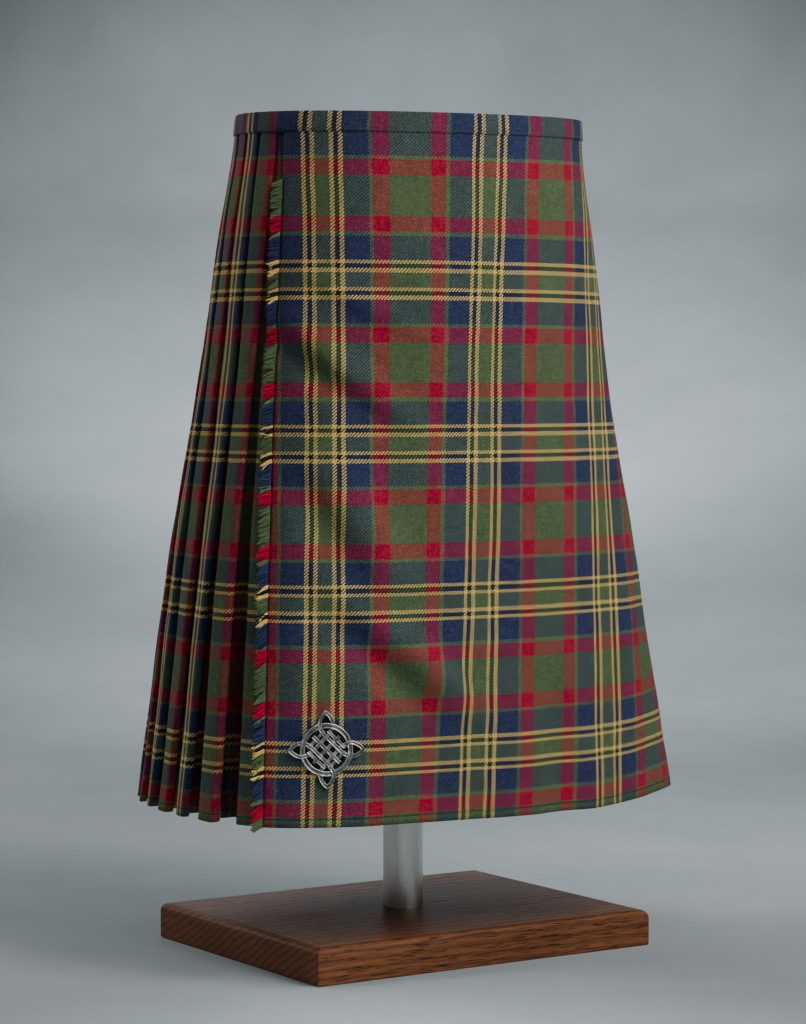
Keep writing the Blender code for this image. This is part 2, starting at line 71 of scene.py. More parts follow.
Section = namedtuple("Section", "drop half_width front_depth back_depth "
                                "right_square left_square back_square shift_x shift_y turn")
SECTIONS = table(Section, (
    (0.00, 0.1641, 0.1200, 0.1266, 2.00, 2.16, 2.04, 0.0108, 0.0037, 1.1),
    (0.05, 0.1657, 0.1221, 0.1312, 2.06, 2.18, 2.05, 0.0078, 0.0008, 0.9),
    (0.15, 0.1749, 0.1263, 0.1403, 2.17, 2.22, 2.08, 0.0050, -0.0016, 0.5),
    (0.36, 0.1893, 0.1352, 0.1594, 2.42, 2.31, 2.14, 0.0023, -0.0029, -0.4),
    (0.62, 0.2133, 0.1462, 0.1831, 2.70, 2.43, 2.21, -0.0020, -0.0108, -1.5),
    (1.00, 0.2425, 0.1622, 0.2178, 3.10, 2.60, 2.32, 0.0003, -0.0154, -3.0),
))
WAIST_LOW_ARC, WAIST_LOW_REACH = -0.0715, 0.3829
HEM_HIGH_ARC, HEM_HIGH_REACH = 0.220, 0.140

# A value that changes from the waist to the hem, with a bow at mid-height.
WaistToHem = namedtuple("WaistToHem", "waist hem bow", defaults=(0.0,))
FRINGED_EDGE = WaistToHem(-0.1863, -0.2224, 0.0013)
FOLDED_EDGE = WaistToHem(0.1620, 0.2260)
LAST_PLEAT_REVEAL = WaistToHem(0.0085, 0.0510, 0.0014)
LAST_PLEAT_WIDER = 0.0070
RECESS = WaistToHem(0.0030, 0.0270)  # depth of a pleat's groove
FRINGE_DROOP = WaistToHem(0.20, 0.66)
OUTLINE_STEPS = 1440
SLOPE_STEP, EDGE_STEP = 0.01, 0.002  # how far apart points are taken to find a slope

# Soft folds of the aprons: a trough has a negative height, and a slanting fold moves
# this many metres along the arc over the whole length of the cloth.
SoftFold = namedtuple("SoftFold", "arc drop half_width half_drop height slant", defaults=(0.0,))
SOFT_FOLDS = table(SoftFold, (
    (-0.105, 0.42, 0.045, 0.30, -0.0030),
    (0.020, 0.70, 0.060, 0.34, 0.0026),
    (0.120, 0.45, 0.050, 0.36, -0.0022),
))

# ---- finer form of the cloth
FINE_FOLDS = SOFT_FOLDS + table(SoftFold, (
    (-0.150, 0.18, 0.022, 0.16, -0.0009),
    (-0.060, 0.30, 0.026, 0.22, 0.0010),
    (-0.036, 0.88, 0.024, 0.26, -0.0018),
    (0.052, 0.95, 0.026, 0.30, -0.0022),
    (0.086, 0.98, 0.022, 0.28, 0.0018),
    (0.010, 0.28, 0.020, 0.20, -0.0010),
    (0.085, 0.62, 0.018, 0.22, -0.0014),
    (0.150, 0.80, 0.030, 0.30, 0.0020),
    (-0.120, 0.86, 0.030, 0.22, 0.0014),
    (-0.190, 0.70, 0.018, 0.34, 0.0012),
    (-0.098, 0.95, 0.060, 0.30, -0.0034),
    (0.012, 0.98, 0.058, 0.32, 0.0036),
    (-0.117, 0.275, 0.030, 0.070, 0.0036, 1.00),
    (-0.131, 0.370, 0.032, 0.120, 0.0062, 0.68),
    (-0.125, 0.585, 0.036, 0.140, 0.0068, 0.30),
    (-0.079, 0.775, 0.040, 0.120, 0.0078, 0.58),
    (-0.165, 0.370, 0.029, 0.115, -0.0036, 0.68),
    (-0.163, 0.585, 0.031, 0.135, -0.0040, 0.30),
    (-0.119, 0.775, 0.035, 0.115, -0.0052, 0.58),
))
# Flutter: the cloth is never quite flat.  Waves per metre round, per length down, height.
Wave = namedtuple("Wave", "round down phase height")
FLUTTER = table(Wave, (
    (9.0, 2.3, 0.4, 0.00045),
    (17.0, -3.7, 2.1, 0.00028),
    (31.0, 7.9, 4.0, 0.00014),
))
FLUTTER_FADE = 0.12  # the band holds the cloth flat, and the flutter is full from this drop down
UNDER_APRON_STOPS_SHORT = 0.020
SHOWN_RISE, SHOWN_STEEP = (0.14, 0.54), 0.84  # the under-apron beside the last pleat
HEM_TILT = 0.10  # deep parts of a pleat hang this share of their depth higher
# A pleat's face rises out of its groove between these shares of its width.
FACE_RISE, FACE_STEEP = (WaistToHem(0.02, 0.15), WaistToHem(0.20, 0.50)), 0.84
FOLD_ROUNDING = WaistToHem(0.0010, 0.0036)
# How pleats differ, each wave as height, rate and phase: their sway, recess and roundness.
PLEAT_SWAY = ((0.0016, 2.7, 0.0),)
PLEAT_OPENING = ((0.17, 2.3, 0.0), (0.10, 5.1, 1.0))
PLEAT_BULGE = ((0.30, 3.9, 0.5),)
TURN_ALONG = 0.56  # how far back the hidden cloth of a pleat goes
APRON_RETURN = 0.68
APRON_ROWS, APRON_COLUMNS, CLOTH_ROWS = 150, 130, 110
FACE_ALONG = (0.0, 0.04, 0.08, 0.12, 0.17, 0.22, 0.27, 0.32, 0.37, 0.43, 0.52, 0.66, 0.83, 1.0)

# ---- the tartan
SETT = 0.140  # one full repeat of the pattern, metres of cloth
THREAD = 0.00074  # width of one yarn
# Half a sett, from the middle of the small green: (name, share of the width).
HALF_SETT = (
    ("green", 7.6), ("gold", 4.1), ("dark", 4.6), ("gold", 4.1), ("navy", 24.6),
    ("light_green", 3.9), ("red", 16.1), ("green", 21.0),
)
WOOL = {
    "green": (0.106, 0.160, 0.072),
    "gold": (0.930, 0.670, 0.215),
    "dark": (0.018, 0.022, 0.018),
    "navy": (0.032, 0.044, 0.112),
    "light_green": (0.140, 0.205, 0.092),
    "red": (0.450, 0.004, 0.042),
}
HEM_ROW, HEM_ROW_EDGES, HEM_ROW_SHADE = 0.0068, (0.0003, 0.0010), 0.45  # a thin darker line above the hem
GROOVE_DEPTHS, GROOVE_SHADE = (0.006, 0.019), 0.38  # little light gets down between the pleats
# Where the middle of the first yellow group runs, and how wide a sett lies on the apron.
GROUP_ARC = WaistToHem(-0.1527, -0.1736, 0.0070)
SETT_ARC = WaistToHem(0.1545, 0.1412, -0.0036)
# The weft rows: half setts counted down from the first wide green, at this height.
ROW_START_HEIGHT = 0.6633
ROW_RATE, ROW_GROWTH = 13.768, 2.255
LAST_FOLD_SETT = -0.335  # place in the sett of the last pleat's fold
PLEAT_SETT_STEP = 0.50  # each pleat shows the other half of the sett
BAND_SETT = 0.135  # the waistband is cut from the navy


# ---- rows of numbers
def joined(*rows):
    return np.concatenate(rows)


def path_length(x, y):
    """The length of a path at each of its points."""
    return joined([0.0], np.cumsum(np.hypot(np.diff(x), np.diff(y))))


def stacked(*columns):
    """Columns side by side, as rows of points."""
    return np.stack(columns, axis=-1)


def rotated(x, y, turn):
    cosine, sine = math.cos(turn), math.sin(turn)
    return x * cosine - y * sine, x * sine + y * cosine


def unit(ways):
    return ways / np.linalg.norm(ways, axis=-1, keepdims=True)


# ---- laying out the cloth
def eased(place, places, values):
    """A smooth curve through a short table."""
    slopes = np.gradient(values, places)
    i = int(np.clip(np.searchsorted(places, place) - 1, 0, len(places) - 2))
    span = places[i + 1] - places[i]
    t = (place - places[i]) / span
    start, end = values[i], values[i + 1]
    rise_start, rise_end = slopes[i] * span, slopes[i + 1] * span
    return float((1 + 2 * t) * (1 - t) ** 2 * start + t * (1 - t) ** 2 * rise_start
                 + t * t * (3 - 2 * t) * end - t * t * (1 - t) * rise_end)


def section_at(drop):
    places = [row.drop for row in SECTIONS]
    return Section(*(eased(drop, places, column) for column in zip(*SECTIONS)))


@lru_cache(maxsize=500)
def outline(drop):
    """Arc, x, y and outward normal round one section, from the middle of the back."""
    row = section_at(drop)
    angle = np.linspace(-math.pi, math.pi, OUTLINE_STEPS + 1)
    across, ahead = np.sin(angle), np.cos(angle)
    is_front = ahead >= 0
    front_square = np.where(across > 0, row.left_square, row.right_square)
    square = np.where(is_front, front_square, row.back_square)
    reach = np.where(is_front, row.front_depth, row.back_depth)
    radius = (np.abs(across) ** square + np.abs(ahead) ** square) ** (-1 / square)
    flat_x = row.half_width * radius * across + row.shift_x
    flat_y = -reach * radius * ahead + row.shift_y
    x, y = rotated(flat_x, flat_y, math.radians(row.turn))
    arc = path_length(x, y)
    arc -= np.interp(0.0, angle, arc)
    slope_x, slope_y = np.gradient(x, arc), np.gradient(y, arc)
    length = np.hypot(slope_x, slope_y)
    return arc, x, y, slope_y / length, -slope_x / length


def girth(drop):
    arc = outline(drop)[0]
    return float(arc[-1] - arc[0])


def hump(distance, reach):
    """A soft bump: 1 at the middle and 0 from reach outwards."""
    return 0.5 + 0.5 * np.cos(np.pi * np.minimum(np.abs(distance) / reach, 1.0))


def climb(place, start, end):
    """A smooth climb from 0 at its start to 1 at its end."""
    rise = np.clip((place - start) / (end - start), 0.0, 1.0)
    return rise * rise * (3 - 2 * rise)


def uneven(number, waves):
    """A value that changes from one pleat or tuft to the next."""
    return sum(height * math.sin(rate * number + phase) for height, rate, phase in waves)


def fold_height(drop, arc):
    folds = sum(fold.height * hump(drop - fold.drop, fold.half_drop)
                * hump(arc - fold.arc - fold.slant * (drop - fold.drop), fold.half_width)
                for fold in FINE_FOLDS)
    flutter = sum(wave.height * np.sin(math.tau * (wave.round * arc + wave.down * drop) + wave.phase)
                  for wave in FLUTTER)
    return folds + flutter * (1.0 - hump(drop, FLUTTER_FADE))


def height_at(drop, arc):
    waist = WAIST_RISE * (1.0 - hump(arc - WAIST_LOW_ARC, WAIST_LOW_REACH)) * hump(drop, RISE_FADE)
    hem = HEM_RISE * hump(arc - HEM_HIGH_ARC, HEM_HIGH_REACH) * hump(1.0 - drop, RISE_FADE)
    return WAIST_HEIGHT - drop * KILT_LENGTH + waist + hem


def cloth_points(drop, arc, depth):
    """Points of the cloth at one drop, as rows of x, y, z."""
    arc, depth = np.asarray(arc, float), np.asarray(depth, float)
    arcs, x, y, normal_x, normal_y = outline(drop)
    around = (arc - arcs[0]) % girth(drop) + arcs[0]
    outward = fold_height(drop, around) - depth
    return stacked(
        np.interp(around, arcs, x) + outward * np.interp(around, arcs, normal_x),
        np.interp(around, arcs, y) + outward * np.interp(around, arcs, normal_y),
        height_at(drop, around) + HEM_TILT * depth * drop ** 4,
    )


def cloth_point(drop, arc, depth=0.0):
    return cloth_points(drop, [arc], [depth])[0]


def between(ends, drop):
    return ends.waist + (ends.hem - ends.waist) * drop + ends.bow * 4 * drop * (1 - drop)


def fold_arc(number, drop):
    """Arc of a pleat's fold.  Number 0 is the over-apron's own fold."""
    first = between(FOLDED_EDGE, drop)
    last = girth(drop) + between(FRINGED_EDGE, drop) - between(LAST_PLEAT_REVEAL, drop)
    if number == PLEATS:
        return last
    wider = LAST_PLEAT_WIDER * drop ** 3
    return first + (last - wider - first) * number / PLEATS + drop * uneven(number, PLEAT_SWAY)


def drops(count):
    return [i / (count - 1) for i in range(count)]


# ---- places in the pattern
def apron_sett(drop, arc):
    """Setts across the aprons, 0 in the middle of the first yellow group."""
    return (arc - between(GROUP_ARC, drop)) / between(SETT_ARC, drop)


def row_sett(drop):
    """Setts down the cloth, a whole number in the middle of a small green."""
    fallen = ROW_START_HEIGHT - (WAIST_HEIGHT - drop * KILT_LENGTH)
    return 0.5 + 0.5 * (ROW_RATE * fallen + ROW_GROWTH * fallen * abs(fallen))


def fold_sett(number):
    return LAST_FOLD_SETT - PLEAT_SETT_STEP * (PLEATS - number)


# ---- meshes
def link(name, data):
    made = bpy.data.objects.new(name, data)
    bpy.context.scene.collection.objects.link(made)
    return made


def link_finished(name, mesh, finish):
    mesh.materials.append(finish)
    return link(name, mesh)


def link_drawn(name, drawn, finish):
    """Links a piece drawn with bmesh."""
    mesh = bpy.data.meshes.new(name)
    drawn.to_mesh(mesh)
    drawn.free()
    return link_finished(name, mesh, finish)


def grid_quads(rows, columns, closed=False, shut=False):
    """Quads of a grid; closed joins its last column to the first, and shut its last row."""
    index = np.arange(rows * columns).reshape(rows, columns)
    if closed:
        index = np.concatenate([index, index[:, :1]], axis=1)
    if shut:
        index = joined(index, index[:1])
    corners = index[:-1, :-1], index[1:, :-1], index[1:, 1:], index[:-1, 1:]
    return stacked(*corners).reshape(-1, 4)


def mesh_object(name, points, faces, finish, setts=None, **values):
    """A mesh with its place in the pattern as a UV map, and named values per vertex."""
    mesh = bpy.data.meshes.new(name)
    mesh.from_pydata(points.reshape(-1, 3).tolist(), [], faces.tolist())
    if setts is not None:
        corners = np.empty(len(mesh.loops), dtype=np.int32)
        mesh.loops.foreach_get("vertex_index", corners)
        layer = mesh.uv_layers.new(name="cloth")
        layer.data.foreach_set("uv", (setts.reshape(-1, 2)[corners] * SETT).ravel())
    for key, value in values.items():
        mesh.attributes.new(key, "FLOAT", "POINT").data.foreach_set("value", np.ravel(value))
    mesh.shade_smooth()
    return link_finished(name, mesh, finish)


def cloth_object(name, line_at, rows, finish):
    """A wall of cloth.  line_at gives the arcs, depths and setts across at a drop."""
    points, setts, heights, depths = [], [], [], []
    for drop in drops(rows):
        arc, depth, across = line_at(drop)
        depths.append(depth + CLOTH / 2)
        points.append(cloth_points(drop, arc, depths[-1]))
        setts.append(stacked(across, np.full(across.shape, -row_sett(drop))))
        heights.append(np.full(arc.shape, (1.0 - drop) * KILT_LENGTH))
    points, setts = np.array(points), np.array(setts)
    quads = grid_quads(*points.shape[:2])
    return wall(mesh_object(name, points, quads, finish, setts, above_hem=heights, deep=depths), CLOTH)


def wall(made, thickness):
    modifier = made.modifiers.new("cloth", "SOLIDIFY")
    modifier.thickness = thickness
    modifier.offset = 0.0
    return made


def rides(piece, slot, *nodes):
    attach(piece, BODY)
    if nodes:
        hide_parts(*nodes)
    return piece


# ---- node materials
class Graph:
    """A short way to write node materials."""

    def __init__(self, name):
        self.material = bpy.data.materials.new(name)
        self.material.use_nodes = True
        self.tree = self.material.node_tree
        self.shader = self.tree.nodes["Principled BSDF"]
        self.place = self.node("TexCoord").outputs["Object"]

    def put(self, socket, value):
        if isinstance(value, bpy.types.NodeSocket):
            self.tree.links.new(value, socket)
        else:
            socket.default_value = value

    def node(self, kind, *inputs, **settings):
        """Adds a shader node.  Inputs are values or sockets, in the node's order or by name."""
        made = self.tree.nodes.new("ShaderNode" + kind)
        for socket, value in zip(made.inputs, inputs):
            self.put(socket, value)
        for key, value in settings.items():
            if key in made.inputs:
                self.put(made.inputs[key], value)
            else:
                setattr(made, key, value)
        return made

    def math(self, operation, *inputs):
        return self.node("Math", *inputs, operation=operation).outputs[0]

    def add(self, first, second):
        return self.math("ADD", first, second)

    def times(self, first, second):
        return self.math("MULTIPLY", first, second)

    def vector(self, x, y, z):
        return self.node("CombineXYZ", x, y, z).outputs[0]

    def split(self, vector):
        return self.node("SeparateXYZ", vector).outputs

    def cloth_place(self):
        return self.split(self.node("UVMap", uv_map="cloth").outputs[0])

    def value_of(self, attribute):
        return self.node("Attribute", attribute_name=attribute).outputs["Fac"]

    def mix(self, factor, first, second, blend="MIX"):
        made = self.node("Mix", data_type="RGBA", blend_type=blend)
        for key, value in (("Factor", factor), ("A", first), ("B", second)):
            self.put(next(s for s in made.inputs if s.name == key and s.enabled), value)
        return next(s for s in made.outputs if s.enabled)

    def shaded(self, colour, value):
        """The colour made lighter or darker."""
        return self.mix(1.0, colour, self.vector(value, value, value), "MULTIPLY")

    def noise(self, scale, detail=2.0, roughness=0.5, place=None):
        place = place or self.place
        return self.node("TexNoise", place, Scale=scale, Detail=detail, Roughness=roughness).outputs["Fac"]

    def fibres(self, scale, detail=2.0, roughness=0.5):
        """A noise drawn out along the axes of small scale."""
        return self.noise(1.0, detail, roughness, self.node("Mapping", self.place, Scale=scale).outputs[0])

    def blend(self, *parts):
        """The sum of values, each taken by its share."""
        total = self.times(*parts[0])
        for part in parts[1:]:
            total = self.add(total, self.times(*part))
        return total

    def tones(self, value, dark, light):
        """Two tones, over the middle of a noise, where most of it lies."""
        return self.ramp(value, ((0.3, dark), (0.7, light)))

    def apart(self, first, second):
        return self.math("ABSOLUTE", self.math("SUBTRACT", first, second))

    def remap(self, value, low, high, to_low, to_high):
        return self.node("MapRange", value, low, high, to_low, to_high).outputs[0]

    def spread(self, noise, to_low, to_high):
        """The middle of a noise spread between two values."""
        return self.remap(noise, 0.3, 0.7, to_low, to_high)

    def ramp(self, factor, stops, interpolation="LINEAR"):
        made = self.node("ValToRGB", factor)
        made.color_ramp.interpolation = interpolation
        elements = made.color_ramp.elements
        for i, (place, colour) in enumerate(stops):
            element = elements[i] if i < len(elements) else elements.new(1.0)
            element.position = place
            element.color = (*colour, 1.0)
        return made.outputs["Color"]

    def bump(self, height, strength, distance):
        return self.node("Bump", Strength=strength, Distance=distance, Height=height).outputs["Normal"]

    def shade(self, **values):
        """Sets the shader's own sockets; a name's underscores are spaces."""
        for key, value in values.items():
            self.put(self.shader.inputs[key.replace("_", " ")], value)
        return self.material


def stripe_starts():
    """Where each stripe of a half sett starts, as a share of it."""
    widths = [width for _, width in HALF_SETT]
    return [sum(widths[:i]) / sum(widths) for i in range(len(widths))]


def stripe_colour(graph, place):
    """The yarn's colour at a place along the sett, in metres of cloth."""
    folded = graph.math("PINGPONG", place, SETT / 2)
    colours = [WOOL[name] for name, _ in HALF_SETT]
    return graph.ramp(graph.times(folded, 2 / SETT), zip(stripe_starts(), colours), "CONSTANT")


def yarns(graph, across, along, seed):
    """Stripes of single yarns, each a little lighter or darker along its length."""
    count = graph.math("DIVIDE", across, THREAD)
    number = graph.math("FLOOR", count)
    middle = graph.times(graph.add(number, 0.5), THREAD)
    along_yarn = graph.vector(graph.times(number, 0.71), graph.times(along, 60.0), seed)
    streak = graph.noise(1.0, place=along_yarn)
    colour = graph.shaded(stripe_colour(graph, middle), graph.remap(streak, 0.25, 0.75, 0.70, 1.30))
    off_middle = graph.apart(graph.math("FRACT", count), 0.5)
    roundness = graph.math("SUBTRACT", 1.0, graph.times(off_middle, 2.0))
    return colour, number, roundness


def tartan_material():
    """2/2 twill: warp and weft take their stripes from the same sett."""
    graph = Graph("tartan_wool")
    across, down, _ = graph.cloth_place()
    drift = graph.noise(26.0)
    across = graph.add(across, graph.spread(drift, -0.00035, 0.00035))
    warp, warp_number, warp_round = yarns(graph, across, down, 3.0)
    weft, weft_number, weft_round = yarns(graph, down, across, 11.0)

    step = graph.math("FLOORED_MODULO", graph.math("SUBTRACT", warp_number, weft_number), 4.0)
    warp_on_top = graph.math("LESS_THAN", step, 1.5)
    weft_on_top = graph.math("SUBTRACT", 1.0, warp_on_top)
    height = graph.blend((warp_round, warp_on_top), (weft_round, weft_on_top))

    nap = graph.noise(1100.0, 3.0, 0.75)
    fluff = graph.noise(420.0, 2.0, 0.6)
    wear = graph.noise(14.0, 3.0, 0.55)
    # Each yarn is painted lighter on its crown and darker at its edges: painted light and shade of the
    # weave's relief. The nap, fluff and wear are the wool's own random tone.
    shade = graph.times(graph.remap(height, 0.0, 1.0, 0.62, 1.20), graph.spread(nap, 0.72, 1.28))
    shade = graph.times(shade, graph.spread(fluff, 0.86, 1.14))
    shade = graph.times(shade, graph.spread(wear, 0.94, 1.06))
    off_row = graph.apart(graph.value_of("above_hem"), HEM_ROW)
    shade = graph.times(shade, graph.remap(off_row, *HEM_ROW_EDGES, HEM_ROW_SHADE, 1.0))
    shade = graph.times(shade, graph.remap(graph.value_of("deep"), *GROOVE_DEPTHS, 1.0, GROOVE_SHADE))
    colour = graph.shaded(graph.mix(warp_on_top, weft, warp), shade)
    hairy = graph.mix(graph.remap(fluff, 0.45, 0.85, 0.0, 0.10), colour, (0.30, 0.31, 0.30, 1.0))
    return graph.shade(
        Base_Color=hairy,
        Roughness=graph.spread(nap, 0.82, 0.96),
        Specular_IOR_Level=0.10,
        Sheen_Weight=0.05,
        Sheen_Roughness=0.45,
        Sheen_Tint=(0.90, 0.92, 0.95, 1.0),
        Normal=graph.bump(graph.add(height, nap), 0.6, 0.0004),
    )


def fringe_material():
    """Each strand has the colour of the weft row that it comes out of."""
    graph = Graph("fringe_yarn")
    along, down, _ = graph.cloth_place()
    ply = graph.math("SINE", graph.times(along, 6500.0))
    fluff = graph.noise(1500.0, 3.0, 0.7)
    # The twist of the plies is painted lighter and darker along the yarn: painted shade of its relief, with
    # the fluff's random tone.
    shade = graph.times(graph.remap(ply, -1.0, 1.0, 0.70, 1.25), graph.spread(fluff, 0.75, 1.35))
    # Painted light: each yarn is painted brighter than the cloth's wool by its kind, with a random tone for
    # each tuft and yarn.
    shade = graph.times(shade, graph.value_of("lightness"))
    return graph.shade(
        Base_Color=graph.shaded(stripe_colour(graph, down), shade), Roughness=0.95,
        Specular_IOR_Level=0.12, Sheen_Weight=0.10, Sheen_Roughness=0.5,
        Normal=graph.bump(graph.add(ply, fluff), 0.5, 0.0003),
    )


def thread_material():
    graph = Graph("sewing_thread")
    twist = graph.noise(1600.0)
    colour = graph.tones(twist, (0.050, 0.085, 0.038), (0.120, 0.190, 0.085))
    return graph.shade(Base_Color=colour, Roughness=0.7, Sheen_Weight=0.1)


def silver_material():
    """Cast silver, blackened where it lies low and rubbed bright on the rims."""
    graph = Graph("antique_silver")
    grain = graph.noise(900.0, 4.0, 0.65)
    blotch = graph.noise(160.0, 3.0)
    worn = graph.add(graph.value_of("polish"), graph.spread(blotch, -0.14, 0.14))
    worn = graph.add(worn, graph.spread(grain, -0.08, 0.08))
    colour = graph.ramp(worn, ((0.0, (0.035, 0.034, 0.033)), (0.30, (0.16, 0.157, 0.15)),
                               (0.60, (0.52, 0.51, 0.49)), (1.0, (0.86, 0.85, 0.82))))
    return graph.shade(
        Base_Color=colour, Metallic=1.0, Roughness=graph.spread(grain, 0.26, 0.44),
        Normal=graph.bump(grain, 0.3, 0.0001),
    )


def oak_material():
    """Dark stained oak: long fine grain, open pores and a satin varnish."""
    graph = Graph("stained_oak")
    _, depth, height = graph.split(graph.place)
    bend = graph.fibres((2.2, 16.0, 16.0), 4.0, 0.6)
    rings = graph.add(graph.times(depth, 150.0), graph.times(height, 260.0))
    late = graph.math("POWER", graph.math("PINGPONG", graph.add(rings, graph.times(bend, 5.0)), 1.0), 1.6)
    fibre = graph.fibres((16.0, 620.0, 620.0), 4.0, 0.75)
    pores = graph.fibres((60.0, 1500.0, 1500.0))
    open_pore = graph.remap(pores, 0.36, 0.46, 0.0, 1.0)
    cloud = graph.fibres((5.0, 14.0, 14.0), 3.0)
    tone = graph.blend((late, 0.20), (fibre, 0.62), (cloud, 0.28))
    colour = graph.ramp(tone, ((0.30, (0.350, 0.130, 0.052)), (0.55, (0.205, 0.073, 0.030)),
                               (0.85, (0.044, 0.017, 0.008))))
    colour = graph.mix(open_pore, (0.028, 0.011, 0.006, 1.0), colour)
    relief = graph.blend((open_pore, 0.7), (fibre, 0.3))
    return graph.shade(
        Base_Color=colour, Roughness=graph.spread(fibre, 0.36, 0.54),
        Specular_IOR_Level=0.17, Normal=graph.bump(relief, 0.5, 0.0003),
    )


def steel_material():
    """Steel tube, brushed round its girth and polished by handling."""
    graph = Graph("brushed_steel")
    lines = graph.fibres((60.0, 60.0, 2600.0), 3.0, 0.6)
    cloud = graph.fibres((30.0, 30.0, 8.0))
    tone = graph.blend((lines, 0.6), (cloud, 0.4))
    colour = graph.tones(tone, (0.66, 0.645, 0.615), (0.88, 0.865, 0.825))
    return graph.shade(
        Base_Color=colour, Metallic=1.0, Roughness=graph.spread(lines, 0.30, 0.42),
        Anisotropic=0.5, Normal=graph.bump(lines, 0.10, 0.00005),
    )


def felt_material():
    graph = Graph("form_felt")
    fibre = graph.noise(600.0, 4.0, 0.75)
    cloud = graph.noise(40.0, 3.0)
    tone = graph.blend((fibre, 0.6), (cloud, 0.4))
    colour = graph.tones(tone, (0.050, 0.050, 0.053), (0.105, 0.105, 0.110))
    return graph.shade(
        Base_Color=colour, Roughness=0.95, Specular_IOR_Level=0.1, Sheen_Weight=0.25,
        Normal=graph.bump(fibre, 0.6, 0.0006),
    )


def stage_material():
    """Pale blue-grey plaster, softly mottled."""
    graph = Graph("pale_stage")
    cloud = graph.noise(2.2, 5.0, 0.62)
    colour = graph.tones(cloud, (0.33, 0.375, 0.39), (0.43, 0.475, 0.49))
    return graph.shade(Base_Color=colour, Roughness=0.95, Specular_IOR_Level=0.1)


# ---- aprons: arcs, depths and pattern places at a drop
def over_apron(drop):
    """From the fringed edge round the fold, and back behind it."""
    rounding, width = between(FOLD_ROUNDING, drop), fold_arc(1, drop) - fold_arc(0, drop)
    edge, fold = between(FRINGED_EDGE, drop), fold_arc(0, drop)
    face = np.linspace(edge, fold - rounding, APRON_COLUMNS)
    tip_arc, tip_depth = fold_tip(fold, 0.0, rounding)
    back = np.linspace(fold - rounding, fold - (1 - APRON_RETURN) * width, 5)[1:]
    back_depth = LAYER + (2 * rounding - LAYER) * np.linspace(1.0, 0.0, 5)[1:] ** 1.5
    arc = joined(face, tip_arc, back)
    depth = joined(np.zeros(face.shape), tip_depth, back_depth)
    return arc, depth, apron_sett(drop, edge) + path_length(arc, depth) / between(SETT_ARC, drop)


def fold_tip(fold, face_depth, rounding):
    """Arcs and depths round a fold, from the outer face to the layer behind it."""
    turns = np.radians((-60.0, -30.0, 0.0, 30.0, 60.0, 90.0))
    return fold - rounding + rounding * np.cos(turns), face_depth + rounding + rounding * np.sin(turns)


def under_apron(drop):
    """From inside the last pleat, out beside the fringe, then under the over-apron."""
    last_fold = fold_arc(PLEATS, drop)
    covered = girth(drop) + between(FRINGED_EDGE, drop)
    end = girth(drop) + fold_arc(0, drop) - UNDER_APRON_STOPS_SHORT
    lead_arc, lead_depth = under_run(PLEATS, drop, (0.50, 0.62, 0.76, 0.90))
    groove = pleat_sizes(PLEATS + 1, drop)[0]
    share = np.linspace(0.0, 1.0, 24)
    rise = SHOWN_STEEP * climb(share, *SHOWN_RISE) + (1 - SHOWN_STEEP) * share
    shown = last_fold + (covered - last_fold) * share
    hidden = np.linspace(covered, end, 60)[1:]
    arc = joined(lead_arc, shown, hidden)
    depth = joined(lead_depth, groove + (LAYER - groove) * rise, np.full(hidden.shape, LAYER))
    return arc, depth, apron_sett(drop, arc - girth(drop))


# ---- pleats
def face_depth(along, drop):
    """Depth on a pleat's face as a share of its recess; along is 0 in the groove, 1 at the fold."""
    rise = climb(along, *(between(end, drop) for end in FACE_RISE))
    return FACE_STEEP * (1 - rise) + (1 - FACE_STEEP) * np.maximum(1 - along, 0.0) ** 1.2


def pleat_sizes(number, drop):
    """Recess and rounding of one pleat: each opens a little more or less than the next."""
    opening, bulge = (1.0 + drop * uneven(number, waves) for waves in (PLEAT_OPENING, PLEAT_BULGE))
    recess = 0.0 if number == 0 else between(RECESS, drop ** 1.5) * opening
    return recess, between(FOLD_ROUNDING, drop) * bulge


def turn_depth(recess, drop):
    return recess * float(face_depth(np.array(TURN_ALONG), drop))


def pleat_span(number, drop):
    """Arc where a pleat's face starts, and its width to its own fold."""
    width = fold_arc(1, drop) - fold_arc(0, drop)
    start = fold_arc(number - 1, drop) if number else fold_arc(0, drop) - width
    return start, fold_arc(number, drop) - start


def under_run(number, drop, shares):
    """The inner layer behind a fold; share 0 is its turn and share 1 the next face's start."""
    start, width = pleat_span(number, drop)
    shares = np.asarray(shares, float)
    begin = turn_depth(pleat_sizes(number, drop)[0], drop) + 2 * LAYER
    end = pleat_sizes(number + 1, drop)[0]
    return start + width * (TURN_ALONG + (1 - TURN_ALONG) * shares), begin + (end - begin) * shares


def pleat_front(number, drop):
    """From the inner layer before a face, over the face and round its fold."""
    lead_arc, lead_depth = under_run(number - 1, drop, (0.62, 0.85))
    start, width = pleat_span(number, drop)
    recess, rounding = pleat_sizes(number, drop)
    along = np.array(FACE_ALONG) * (1 - rounding / width)
    depth = recess * face_depth(along, drop)
    tip_arc, tip_depth = fold_tip(start + width, depth[-1], rounding)
    arc = joined(lead_arc, start + along * width, tip_arc)
    return arc, joined(lead_depth, depth, tip_depth)


def pleat_back(number, drop, along):
    """From behind a fold to its hidden turn, and a little way out again."""
    start, width = pleat_span(number, drop)
    recess, rounding = pleat_sizes(number, drop)
    along = np.array(along)
    gap = (2 * rounding - LAYER) * ((along - TURN_ALONG) / (1 - TURN_ALONG)) ** 1.5
    depth = recess * face_depth(along, drop) + LAYER + gap
    turn_arc = start + TURN_ALONG * width - np.array([0.6, 0.85, 0.6]) * LAYER / 2
    turn = turn_depth(recess, drop) + LAYER * np.array([1.2, 1.5, 1.8])
    out_arc, out_depth = under_run(number, drop, (0.0, 0.25, 0.45))
    return joined(start + along * width, turn_arc, out_arc), joined(depth, turn, out_depth)


